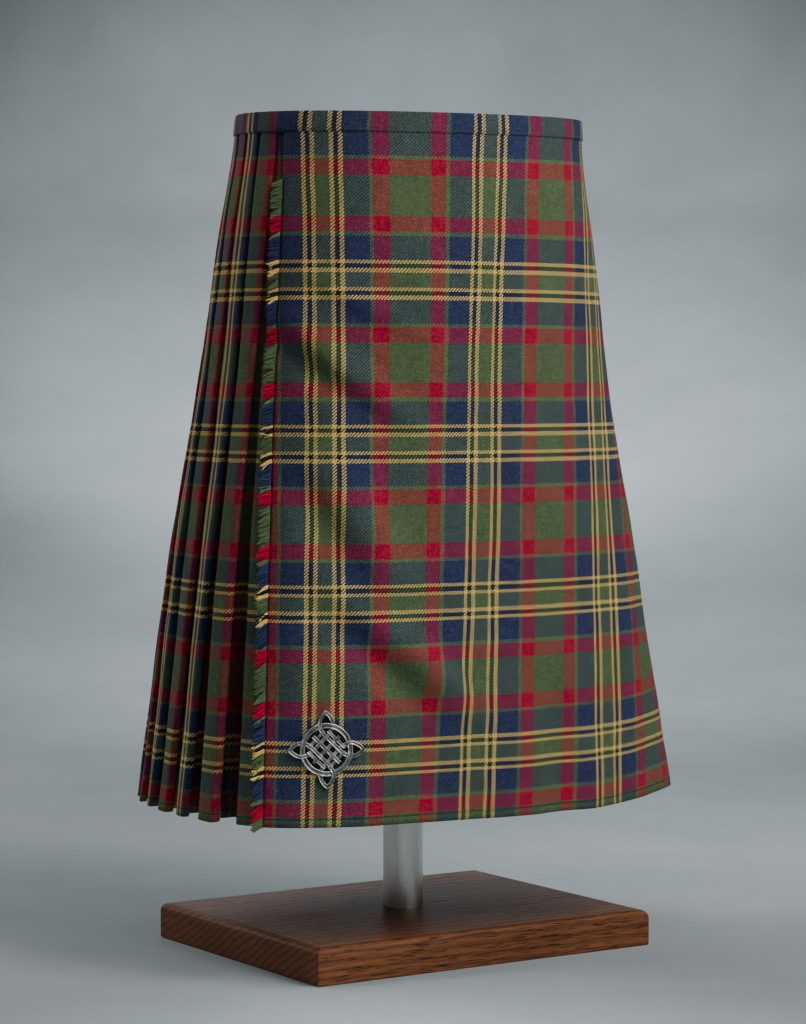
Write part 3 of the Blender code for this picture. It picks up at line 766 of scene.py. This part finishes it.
def pleat(number, drop):
    """Arcs, depths and pattern places of one pleat, front and back."""
    front_arc, front_depth = pleat_front(number, drop)
    back_arc, back_depth = pleat_back(number, drop, (0.88, 0.80, 0.72, 0.64, TURN_ALONG))
    arc, depth = joined(front_arc, back_arc), joined(front_depth, back_depth)
    run = path_length(arc, depth)
    at_fold = run[len(front_arc) - 4]
    return arc, depth, fold_sett(number) + (run - at_fold) / SETT


def left_pleats(drop):
    """The pleats that go on from the over-apron's fold, with the hidden turn behind it."""
    arc, depth = pleat_back(0, drop, (APRON_RETURN - 0.01, 0.60, TURN_ALONG))
    end = apron_sett(drop, fold_arc(0, drop))
    turn = arc, depth, end + path_length(arc, depth) / SETT
    parts = [turn] + [pleat(number, drop) for number in range(1, PLEAT_JOIN + 1)]
    return [joined(*column) for column in zip(*parts)]


def right_pleats(drop):
    """The pleats that end at the under-apron."""
    parts = [pleat(number, drop) for number in range(PLEAT_JOIN + 1, PLEATS + 1)]
    return [joined(*column) for column in zip(*parts)]


# ---- waistband
BAND_ROUNDING = 0.0008
BAND_SWELL = 0.0003
BAND_WALL = 0.0008
BAND_TUCK = 0.0006  # its lower edge is turned in by this
# Over a pleat it shows a low step: share of the pleat's width, and outward relief.
BAND_STEP = ((0.03, -0.0003), (0.12, 0.0), (0.5, 0.0002), (0.85, 0.0003), (0.98, 0.0001))
PLEAT_STACK = 0.0093  # depth of the sewn pleats at the waist
STACK_START, STACK_REACH = 0.016, 0.035  # how far past the pleats it goes on, and then fades
STITCH_LENGTH, STITCH_STEP, STITCH_RISE, STITCH_THICKNESS = 0.0021, 0.0034, 0.0024, 0.00042
STITCH_LIFT = (-0.00020, 0.00025, 0.00025, -0.00020)  # its ends go into the cloth
STITCH_MARGIN, STITCH_LEAN = 0.004, ((0.0003, 3.1, 0.0),)


def inner_depth(arc):
    """Depth of the innermost layer at the waist: deeper where the pleats are."""
    first, last = fold_arc(0, 0.0), fold_arc(PLEATS, 0.0)
    around = (arc - first) % girth(0.0)
    beyond = max(min(around - (last - first), girth(0.0) - around) - STACK_START, 0.0)
    return 2 * LAYER + (PLEAT_STACK - 2 * LAYER) * float(hump(beyond, STACK_REACH))


def band_columns():
    """Arc, pattern place and outward relief of the waistband's columns.

    Over the pleats the band shows each pleat as a low step, with its own piece of pattern.
    """
    columns = [(arc, apron_sett(0.0, arc), 0.0)
               for arc in np.linspace(between(FRINGED_EDGE, 0.0), between(FOLDED_EDGE, 0.0), 150)]
    for number in range(1, PLEATS + 1):
        start, width = pleat_span(number, 0.0)
        for along, relief in BAND_STEP:
            columns.append((start + along * width, fold_sett(number) + (along - 1) * width / SETT, relief))
    end = girth(0.0) + between(FRINGED_EDGE, 0.0) - PARTING
    columns += [(arc, apron_sett(0.0, arc - girth(0.0)), 0.0)
                for arc in np.linspace(fold_arc(PLEATS, 0.0) + 0.001, end, 16)]
    return columns


def band_place(arc, depth, rise):
    """A point of the waistband: it follows the cloth's slope below the edge."""
    drop = max(-rise, 0.0) / KILT_LENGTH
    point = cloth_point(drop, arc * girth(drop) / girth(0.0), depth)
    point[2] += max(rise, 0.0)
    return point


def waistband(finish):
    outside, top = BAND_WALL / 2 + PARTING, PARTING + BAND_WALL / 2
    points, setts = [], []
    for arc, sett, relief in band_columns():
        outer, inner = -outside - relief, inner_depth(arc) + outside
        corner = 0.3 * BAND_ROUNDING
        profile = (
            (outer + BAND_TUCK, -BAND_HEIGHT), (outer, -0.94 * BAND_HEIGHT),
            (outer - BAND_SWELL * 0.7, -0.75 * BAND_HEIGHT), (outer - BAND_SWELL, -0.5 * BAND_HEIGHT),
            (outer - BAND_SWELL * 0.7, -0.2 * BAND_HEIGHT), (outer, top - BAND_ROUNDING),
            (outer + corner, top - corner), (outer + BAND_ROUNDING, top),
            ((outer + inner) / 2, top), (inner - BAND_ROUNDING, top), (inner, top - BAND_ROUNDING),
            (inner, -BAND_INSIDE / 2), (inner, -BAND_INSIDE),
        )
        points.append([band_place(arc, depth, rise) for depth, rise in profile])
        run = path_length(*np.array(profile).T)
        setts.append(stacked(np.full(len(profile), sett), BAND_SETT + run / SETT))
    points, setts = np.array(points), np.array(setts)
    quads, far = grid_quads(*points.shape[:2]), np.full(points.shape[:2], 1.0)
    return wall(mesh_object("waistband_cloth", points, quads, finish, setts, above_hem=far), BAND_WALL)


def tube(path, radius, sides=5):
    """Points and quads of a thin tube along a path, open at its ends, with its own radius at each point."""
    path = np.asarray(path, float)
    along = unit(np.gradient(path, axis=0))
    helper = np.where(np.abs(along[:, 2:]) < 0.8, [[0.0, 0.0, 1.0]], [[1.0, 0.0, 0.0]])
    side = unit(np.cross(along, helper))
    other = np.cross(along, side)
    turns = math.tau * np.arange(sides) / sides
    radius = np.asarray(radius, float)[:, None, None]
    ring = np.cos(turns)[None, :, None] * side[:, None] + np.sin(turns)[None, :, None] * other[:, None]
    return path[:, None] + radius * ring, grid_quads(len(path), sides, closed=True)


def joined_tubes(name, tubes, finish, setts=None, **values):
    """Many tubes as one mesh."""
    points, faces, start = [], [], 0
    for shell, quads in tubes:
        points.append(shell.reshape(-1, 3))
        faces.append(quads + start)
        start += points[-1].shape[0]
    return mesh_object(name, joined(*points), joined(*faces), finish, setts, **values)


def band_stitches(finish):
    """A line of hand stitches that holds the waistband's lower edge."""
    outside = PARTING + BAND_WALL
    rise = -BAND_HEIGHT + STITCH_RISE
    start = between(FRINGED_EDGE, 0.0) + STITCH_MARGIN
    tubes = []
    for i in range(int((girth(0.0) - 2 * STITCH_MARGIN) / STITCH_STEP)):
        lean = uneven(i, STITCH_LEAN)
        arcs = start + i * STITCH_STEP + np.linspace(0.0, STITCH_LENGTH, 4)
        path = [band_place(arc, -outside - lift, rise + lean * step / 3)
                for step, (arc, lift) in enumerate(zip(arcs, STITCH_LIFT))]
        tubes.append(tube(path, np.full(4, STITCH_THICKNESS / 2)))
    return joined_tubes("band_stitches", tubes, finish)


# ---- fringe
# Depth is the middle of a yarn's, inside the apron's outer face; stray is in radians. The last column is
# painted light: how much brighter a kind's yarns are painted than the cloth's wool, so that they look lit
# where they hang in shade.
YarnKind = namedtuple("YarnKind", "count thickness length depth stray sides lightness")
YARN_KINDS = table(YarnKind, (
    (460, 0.00138, 0.0108, -0.0007, 0.10, 7, 2.30),
    (460, 0.00130, 0.0114, 0.0005, 0.16, 6, 1.80),
    (520, 0.00026, 0.0122, -0.0012, 0.45, 5, 2.30),
))
TUFT_YARNS = 5  # at most this many yarns of one stripe cling together
TUFT_GATHER = 0.42
TUFT_DROOP = ((0.16, 2.9, 0.0), (0.10, 7.7, 1.0))  # how tufts differ, in waves as the pleats do
TUFT_SHADE = ((0.10, 4.3, 0.0),)
FRINGE_WRAP = 5.5  # the cloth turns away from the edge: depth for each metre squared
YARN_TAPER = (1.0, 1.04, 1.04, 1.0, 0.92, 0.80, 0.42)
EdgeFrame = namedtuple("EdgeFrame", "here aside down inward")


def edge_frame(drop):
    """A point of the apron's fringed edge, and the ways aside, down and inward there."""
    arc = between(FRINGED_EDGE, drop)
    here, beside = cloth_point(drop, arc), cloth_point(drop, arc - EDGE_STEP)
    below = cloth_point(drop + SLOPE_STEP, between(FRINGED_EDGE, drop + SLOPE_STEP))
    aside = unit(beside - here)
    inward = unit(np.cross(aside, below - here))
    down = unit(np.array([0.0, 0.0, -1.0]) + inward * inward[2])
    return EdgeFrame(here, aside, down, inward)


def stripe_number(place):
    """Counts the stripes down the cloth, from a place in setts."""
    half, folded = divmod(2 * place, 1.0)
    if half % 2:
        folded = 1.0 - folded
    return half, int(np.searchsorted(stripe_starts(), folded))


def tufts(count):
    """The drops of the yarns, in tufts: neighbours of one stripe, a few at a time."""
    groups, last = [], None
    for number in range(count):
        drop = FRINGE_TOP_DROP + (1.0 - FRINGE_TOP_DROP) * (number + 0.5) / count
        stripe = stripe_number(row_sett(drop))
        if stripe != last or len(groups[-1]) == TUFT_YARNS:
            groups.append([])
        groups[-1].append(drop)
        last = stripe
    return groups


def yarn_path(kind, frame, droop, gather, chance):
    """One yarn: it leaves the edge sideways and bends down, drawn towards its tuft."""
    length = kind.length * chance.uniform(0.86, 1.08)
    lean = droop + chance.gauss(0.0, kind.stray)
    curl, lift = chance.gauss(0.0, kind.stray), chance.uniform(-0.00025, 0.00025)
    steps = len(YARN_TAPER)
    aside, down, path = -0.0004, 0.0, []
    for step in range(steps):
        t = step / (steps - 1)
        angle = lean * min(1.0, 0.3 + 1.6 * t) + curl * t * t
        if step:
            aside += math.cos(angle) * length / (steps - 1)
            down += math.sin(angle) * length / (steps - 1)
        depth = kind.depth - lift * math.sin(math.pi * t) + FRINGE_WRAP * aside * aside
        out = frame.here + frame.aside * aside
        path.append(out + frame.down * (down + gather * t) + frame.inward * depth)
    return path


def fringe(finish):
    chance = random.Random(7)
    tubes, setts, lightness = [], [], []
    for kind in YARN_KINDS:
        for number, group in enumerate(tufts(kind.count)):
            middle = sum(group) / len(group)
            droop = between(FRINGE_DROOP, middle) + uneven(number, TUFT_DROOP)
            # Painted light of the kind, with a tone that differs at random from tuft to tuft and from yarn
            # to yarn.
            shade = kind.lightness * (1.0 + uneven(number, TUFT_SHADE))
            for drop in group:
                gather = TUFT_GATHER * (middle - drop) * KILT_LENGTH
                path = yarn_path(kind, edge_frame(drop), droop, gather, chance)
                tubes.append(tube(path, kind.thickness / 2 * np.array(YARN_TAPER), kind.sides))
                along = np.linspace(0.0, kind.length / SETT, len(YARN_TAPER))
                setts += [(place, -row_sett(drop)) for place in along for _ in range(kind.sides)]
                lightness += [shade * chance.uniform(0.85, 1.15)] * (kind.sides * len(YARN_TAPER))
    return joined_tubes("fringe_strands", tubes, finish, np.array(setts), lightness=lightness)


# ---- kilt pin
PIN_TIP_RIM = 0.0013  # a strand's middle line stops this far short of a tip
PIN_HALF_LOOP = (PIN_TIP_RADIUS - PIN_TIP_RIM - PIN_FOOT_RADIUS) / 2
PIN_LOOP_MIDDLE = PIN_FOOT_RADIUS + PIN_HALF_LOOP
PIN_LOOP_BULGE = 0.0056
PIN_STRAND, PIN_RING_WIDTH, PIN_SHORT_STRAND = 0.0031, 0.0043, 0.0026
PIN_MIDDLE_HALF = 0.0156
PIN_SHORT_HALF, PIN_SHORT_OFFSET, PIN_SHORT_LEG = 0.0100, 0.0120, 0.0081
PIN_BACKING, PIN_DISC_LEVEL, PIN_LOOP_LEVEL = 0.0004, 0.00040, 0.00036
PIN_CROSSING_SIDE = 0.90 * PIN_LOOP_BULGE  # how far out a loop meets the ring
PIN_LEVEL, PIN_THICKNESS = 0.0013, 0.0012
PIN_WEAVE, PIN_WEAVE_REACH, PIN_WEAVE_POLISH = 0.00055, 0.0042, 0.12
# Across a strand of the pin: side as a share of its half width, height of its thickness,
# and how polished it is.  Two rims with a channel between them.
StrandPoint = namedtuple("StrandPoint", "side height polish")
PIN_RIM = table(StrandPoint, (
    (-1.00, -0.50, 0.05), (-1.00, 0.15, 0.30), (-0.90, 0.44, 0.80),
    (-0.74, 0.50, 0.88), (-0.62, 0.30, 0.34), (-0.44, 0.22, 0.46),
))
PIN_PROFILE = PIN_RIM + tuple(point._replace(side=-point.side) for point in PIN_RIM[::-1])


def turned(points, quarters):
    """Points turned clockwise by quarter turns."""
    return stacked(*rotated(*points.T, -quarters * math.pi / 2))


def weave_height(points, crossings):
    """How far a strand rises over (+) or dips under (-) the ones it crosses."""
    height = np.zeros(len(points))
    for x, y, sign in crossings:
        height += sign * PIN_WEAVE * hump(np.hypot(points[:, 0] - x, points[:, 1] - y), PIN_WEAVE_REACH)
    return height


def loop_leg(count):
    """The left side of a pointed loop, from its tip to its foot."""
    run = np.linspace(1.0, -1.0, count)
    return stacked(-PIN_LOOP_BULGE * (1 - run * run), PIN_LOOP_MIDDLE + PIN_HALF_LOOP * run)


def ring_points(count):
    angle = np.linspace(0.0, math.tau, count + 1)[:-1]
    return PIN_RING_RADIUS * stacked(np.cos(angle), np.sin(angle))


def knot_path():
    """One closed strand: four pointed loops joined by four diagonals."""
    foot, side, half_foot = PIN_FOOT_RADIUS, PIN_CROSSING_SIDE, PIN_FOOT_RADIUS / 2
    share = np.linspace(0.0, 1.0, 18)[1:-1, None]
    diagonal = np.array([[0.0, foot]]) * (1 - share) + np.array([[foot, 0.0]]) * share
    near = joined(loop_leg(26), diagonal[:8])
    far = joined(diagonal[8:], turned(loop_leg(26)[::-1] * (-1.0, 1.0), 1)[:-1])
    # The near half dips at its own foot and the far half rises at the next.
    both = ((-side, PIN_RING_RADIUS, 1), (half_foot, half_foot, 1), (PIN_RING_RADIUS, -side, -1))
    heights = (weave_height(near, both + ((0.0, foot, -1),)), weave_height(far, both + ((foot, 0.0, 1),)))
    quarters = [turned(piece, quarter) for quarter in range(4) for piece in (near, far)]
    return joined(*quarters), np.tile(joined(*heights), 4)


def ring_path():
    points = ring_points(144)
    marks = np.array([(side, PIN_RING_RADIUS) for side in (-PIN_CROSSING_SIDE, PIN_CROSSING_SIDE)])
    crossings = [(*mark, sign) for quarter in range(4)
                 for mark, sign in zip(turned(marks, quarter), (-1, 1))]
    return points, weave_height(points, crossings)


def bar_path(half, count, offset, quarters, crossings):
    """A straight strand beside or over the middle, turned clockwise by quarter turns."""
    run = np.linspace(-half, half, count)
    points = stacked(run, np.full(run.shape, offset))
    return turned(points, quarters), weave_height(points, crossings)


def middle_bar_path(quarters, sign):
    """A long strand from corner to corner, under the diagonals."""
    reach = PIN_FOOT_RADIUS / math.sqrt(2)
    crossings = ((-reach, 0.0, -1), (reach, 0.0, -1), (0.0, 0.0, sign))
    return bar_path(PIN_MIDDLE_HALF, 50, 0.0, quarters, crossings)


def short_bar_path(quarter):
    """A short strand across a corner, under the long one and over two legs."""
    crossings = ((0.0, PIN_SHORT_OFFSET, -1), (-PIN_SHORT_LEG, PIN_SHORT_OFFSET, 1.3),
                 (PIN_SHORT_LEG, PIN_SHORT_OFFSET, 1.3))
    return bar_path(PIN_SHORT_HALF, 24, PIN_SHORT_OFFSET, quarter + 0.5, crossings)


def pin_backing(finish):
    """A black plate under the knot, a disc and the filling of each pointed loop: painted shade, standing
    for the deep shade seen through the knot's openings.
    """
    leg = loop_leg(25)
    loop = joined(leg * (-1.0, 1.0), leg[-2:0:-1])
    rims = [ring_points(96)] + [turned(loop, quarter) for quarter in range(4)]
    bm = bmesh.new()
    for height, rim in zip((PIN_DISC_LEVEL, *4 * [PIN_LOOP_LEVEL]), rims):
        bm.faces.new([bm.verts.new((x, y, height)) for x, y in rim])
    made = wall(link_drawn("pin_backing", bm, finish), PIN_BACKING)
    # With no polish, the whole plate takes the darkest tone: painted shade.
    made.data.attributes.new("polish", "FLOAT", "POINT")
    return made


def pin_strand(name, path, width, finish, closed=False):
    points, heights = path
    if closed:
        ahead = unit(np.roll(points, -1, axis=0) - np.roll(points, 1, axis=0))
    else:
        ahead = unit(np.gradient(points, axis=0))
    side = stacked(-ahead[:, 1], ahead[:, 0])
    rings, polish = [], []
    for point in PIN_PROFILE:
        flat = points + side * point.side * width / 2
        rings.append(np.column_stack([flat, PIN_LEVEL + heights + point.height * PIN_THICKNESS]))
        polish.append(point.polish + heights / PIN_WEAVE * PIN_WEAVE_POLISH)
    faces = grid_quads(len(PIN_PROFILE), len(points), closed, shut=True)
    return mesh_object(name, np.stack(rings), faces, finish, polish=polish)


def pin_frame():
    """Where the pin lies: x across the apron, y up it, z out of it."""
    drop = (WAIST_HEIGHT - PIN_HEIGHT) / KILT_LENGTH
    left, here, right = (cloth_point(drop, PIN_ARC + side * SLOPE_STEP) for side in (-1, 0, 1))
    above, below = (cloth_point(drop + side * SLOPE_STEP, PIN_ARC) for side in (-1, 1))
    across, rise = Vector(right - left).normalized(), Vector(above - below).normalized()
    out = across.cross(rise).normalized()
    frame = Matrix((across, out.cross(across), out)).transposed().to_4x4()
    frame.translation = Vector(here) + out * PARTING
    return frame


def kilt_pin(finish):
    pieces = [
        pin_strand("pin_ring", ring_path(), PIN_RING_WIDTH, finish, closed=True),
        pin_strand("pin_knot", knot_path(), PIN_STRAND, finish, closed=True),
        pin_strand("pin_bar_rising", middle_bar_path(-0.5, 1), PIN_STRAND, finish),
        pin_strand("pin_bar_falling", middle_bar_path(0.5, -1), PIN_STRAND, finish),
        pin_backing(finish),
    ]
    pieces += [pin_strand(f"pin_short_bar_{quarter}", short_bar_path(quarter), PIN_SHORT_STRAND, finish)
               for quarter in range(4)]
    frame = pin_frame()
    for piece in pieces:
        piece.matrix_world = frame
        rides(piece, "pin_metal", "kilt_pin")


# ---- stand
def dress_stand():
    """The base, post and form are the solids themselves, with their own finishes."""
    finishes = {"stand_base": oak_material(), "stand_post": steel_material(), "waist_form": felt_material()}
    for name, finish in finishes.items():
        slots = bpy.data.objects[name].data.materials
        slots.clear()
        slots.append(finish)


# ---- camera, stage and lights
CAMERA_AZIMUTH, CAMERA_REACH, CAMERA_HEIGHT = -33.24, 2.7, 0.5037
CAMERA_TILT = 0.0427  # radians down
CAMERA_LENS, CAMERA_SENSOR = 105.7, 36.0  # millimetres, as Blender takes them
STAGE_FLAT, STAGE_RADIUS, STAGE_HEIGHT, STAGE_SIDES = 1.2, 4.2, 5.0, 96
STAGE_CURVE = 0.11  # its height grows with the square of the way past the flat part
STAGE_LEAN = 0.5
WHITE, COOL = (1.0, 1.0, 1.0), (0.92, 0.97, 1.0)
# Azimuths and elevations in degrees, sizes in metres, power in watts.
AreaLight = namedtuple("AreaLight", "name azimuth elevation distance size power aim colour")
AREA_LIGHTS = table(AreaLight, (
    ("key", 17.0, 20.0, 1.6, 0.9, 12.6, 0.56, WHITE),
    ("high_key", 24.0, 50.0, 2.4, 0.9, 17.0, 0.46, WHITE),
    ("top_fill", -20.0, 55.0, 1.8, 1.0, 2.8, 0.46, WHITE),
    ("back_right", -150.0, 30.0, 2.0, 1.0, 18.0, 0.42, WHITE),
    ("back_left", 155.0, 30.0, 2.2, 1.0, 8.0, 0.42, COOL),
))
# A spot's place and target are each an azimuth, a reach and a height.
SpotLight = namedtuple("SpotLight", "name place target power cone")
SPOT_LIGHTS = table(SpotLight, (
    ("backdrop", (147.0, 1.2, 1.9), (145.8, 4.1, 0.30), 350.0, 62.0),
    ("floor_front", (-30.0, 0.44, 0.9), (-30.0, 0.44, 0.0), 60.0, 27.0),
    ("floor_behind", (140.0, 1.1, 1.9), (141.0, 2.45, 0.15), 125.0, 80.0),
    ("floor_right", (95.0, 1.1, 1.5), (116.0, 0.70, 0.0), 45.0, 46.0),
))
SPOT_BLEND, SPOT_RADIUS = 1.0, 0.25
AIR_STRENGTH = 0.015


def round_place(azimuth, reach, height):
    """A point at an azimuth from the front, positive towards the wearer's left."""
    azimuth = math.radians(azimuth)
    return reach * math.sin(azimuth), -reach * math.cos(azimuth), height


def camera():
    """Right of the kilt's front, level with its middle and looking slightly down."""
    lens = bpy.data.cameras.new("camera")
    lens.lens, lens.sensor_width = CAMERA_LENS, CAMERA_SENSOR
    made = link("camera", lens)
    made.location = round_place(CAMERA_AZIMUTH, CAMERA_REACH, CAMERA_HEIGHT)
    made.rotation_euler = (math.pi / 2 - CAMERA_TILT, 0.0, math.radians(CAMERA_AZIMUTH))
    bpy.context.scene.camera = made


def stage():
    """A pale floor that curves up very slowly into a pale backdrop all round."""
    reaches = np.linspace(STAGE_FLAT, STAGE_RADIUS, 16)
    profile = [(reach, STAGE_CURVE * (reach - STAGE_FLAT) ** 2) for reach in reaches]
    profile.append((STAGE_RADIUS + STAGE_LEAN, STAGE_HEIGHT))
    bm = bmesh.new()
    turns = math.tau * np.arange(STAGE_SIDES) / STAGE_SIDES
    ways = [(math.cos(turn), math.sin(turn)) for turn in turns]
    rings = [[bm.verts.new((reach * x, reach * y, z)) for x, y in ways] for reach, z in profile]
    bm.faces.new(rings[0])
    for lower, upper in zip(rings, rings[1:]):
        for i in range(STAGE_SIDES):
            j = (i + 1) % STAGE_SIDES
            bm.faces.new((lower[j], lower[i], upper[i], upper[j])).smooth = True
    link_drawn("stage", bm, stage_material())


def link_at(data, place, target):
    """Links a light at a place, turned to a target."""
    made = link(data.name, data)
    made.location = place
    made.rotation_euler = (Vector(target) - Vector(place)).to_track_quat("-Z", "Y").to_euler()
    made.visible_camera = False


def area_light(light):
    """A soft box that faces a height on the kilt's axis."""
    elevation = math.radians(light.elevation)
    ahead, above = light.distance * math.cos(elevation), light.distance * math.sin(elevation)
    data = bpy.data.lights.new(light.name, "AREA")
    data.size, data.energy, data.color = light.size, light.power, light.colour
    link_at(data, round_place(light.azimuth, ahead, light.aim + above), (0.0, 0.0, light.aim))


def spot_light(light):
    """A soft-edged spot."""
    data = bpy.data.lights.new(light.name, "SPOT")
    data.energy, data.spot_size, data.spot_blend = light.power, math.radians(light.cone), SPOT_BLEND
    data.shadow_soft_size, data.color = SPOT_RADIUS, COOL
    link_at(data, round_place(*light.place), round_place(*light.target))


def studio():
    world = bpy.data.worlds.new("studio")
    bpy.context.scene.world = world
    world.use_nodes = True
    background = world.node_tree.nodes["Background"]
    background.inputs["Color"].default_value = (*COOL, 1.0)
    background.inputs["Strength"].default_value = AIR_STRENGTH
    for light in AREA_LIGHTS:
        area_light(light)
    for light in SPOT_LIGHTS:
        spot_light(light)


def build():
    camera()
    stage()
    studio()
    tartan, yarn, thread = tartan_material(), fringe_material(), thread_material()
    over = cloth_object("over_apron_cloth", over_apron, APRON_ROWS, tartan)
    under = cloth_object("under_apron_cloth", under_apron, CLOTH_ROWS, tartan)
    left = cloth_object("pleats_left_cloth", left_pleats, CLOTH_ROWS, tartan)
    right = cloth_object("pleats_right_cloth", right_pleats, CLOTH_ROWS, tartan)
    rides(over, "tartan", "over_apron")
    rides(under, "tartan", "under_apron")
    rides(left, "tartan", "pleats_left")
    rides(right, "tartan", "pleats_right")
    band = rides(waistband(tartan), "tartan", "waistband")
    stitches = rides(band_stitches(thread), "tartan")
    strands = rides(fringe(yarn), "fringe", "apron_fringe")
    kilt_pin(silver_material())
    dress_stand()


build()
